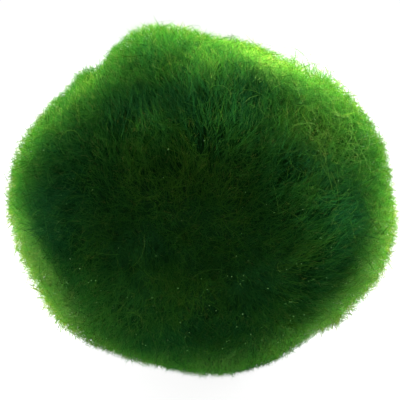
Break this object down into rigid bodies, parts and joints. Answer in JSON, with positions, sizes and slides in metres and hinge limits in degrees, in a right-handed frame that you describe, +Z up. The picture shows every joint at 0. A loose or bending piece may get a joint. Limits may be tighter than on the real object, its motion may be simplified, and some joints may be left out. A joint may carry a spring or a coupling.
{
  "type": "marimo moss ball",
  "caption": "Slightly flattened, lumpy ball of felted green algae filaments, resting on a small flat spot.",
  "frame": {"origin": "on the surface that the ball rests on, under the middle of its outline", "axes": "+X to the ball's right as seen in the picture, -Y towards the viewer, +Z up"},
  "size_m": [0.0498, 0.0476, 0.0436],
  "materials": {
    "moss": "velvety, matt, light green filament tips over a dark green felt"
  },
  "bodies": {
    "root": {"moss_ball": "moss"}
  },
  "joints": []
}
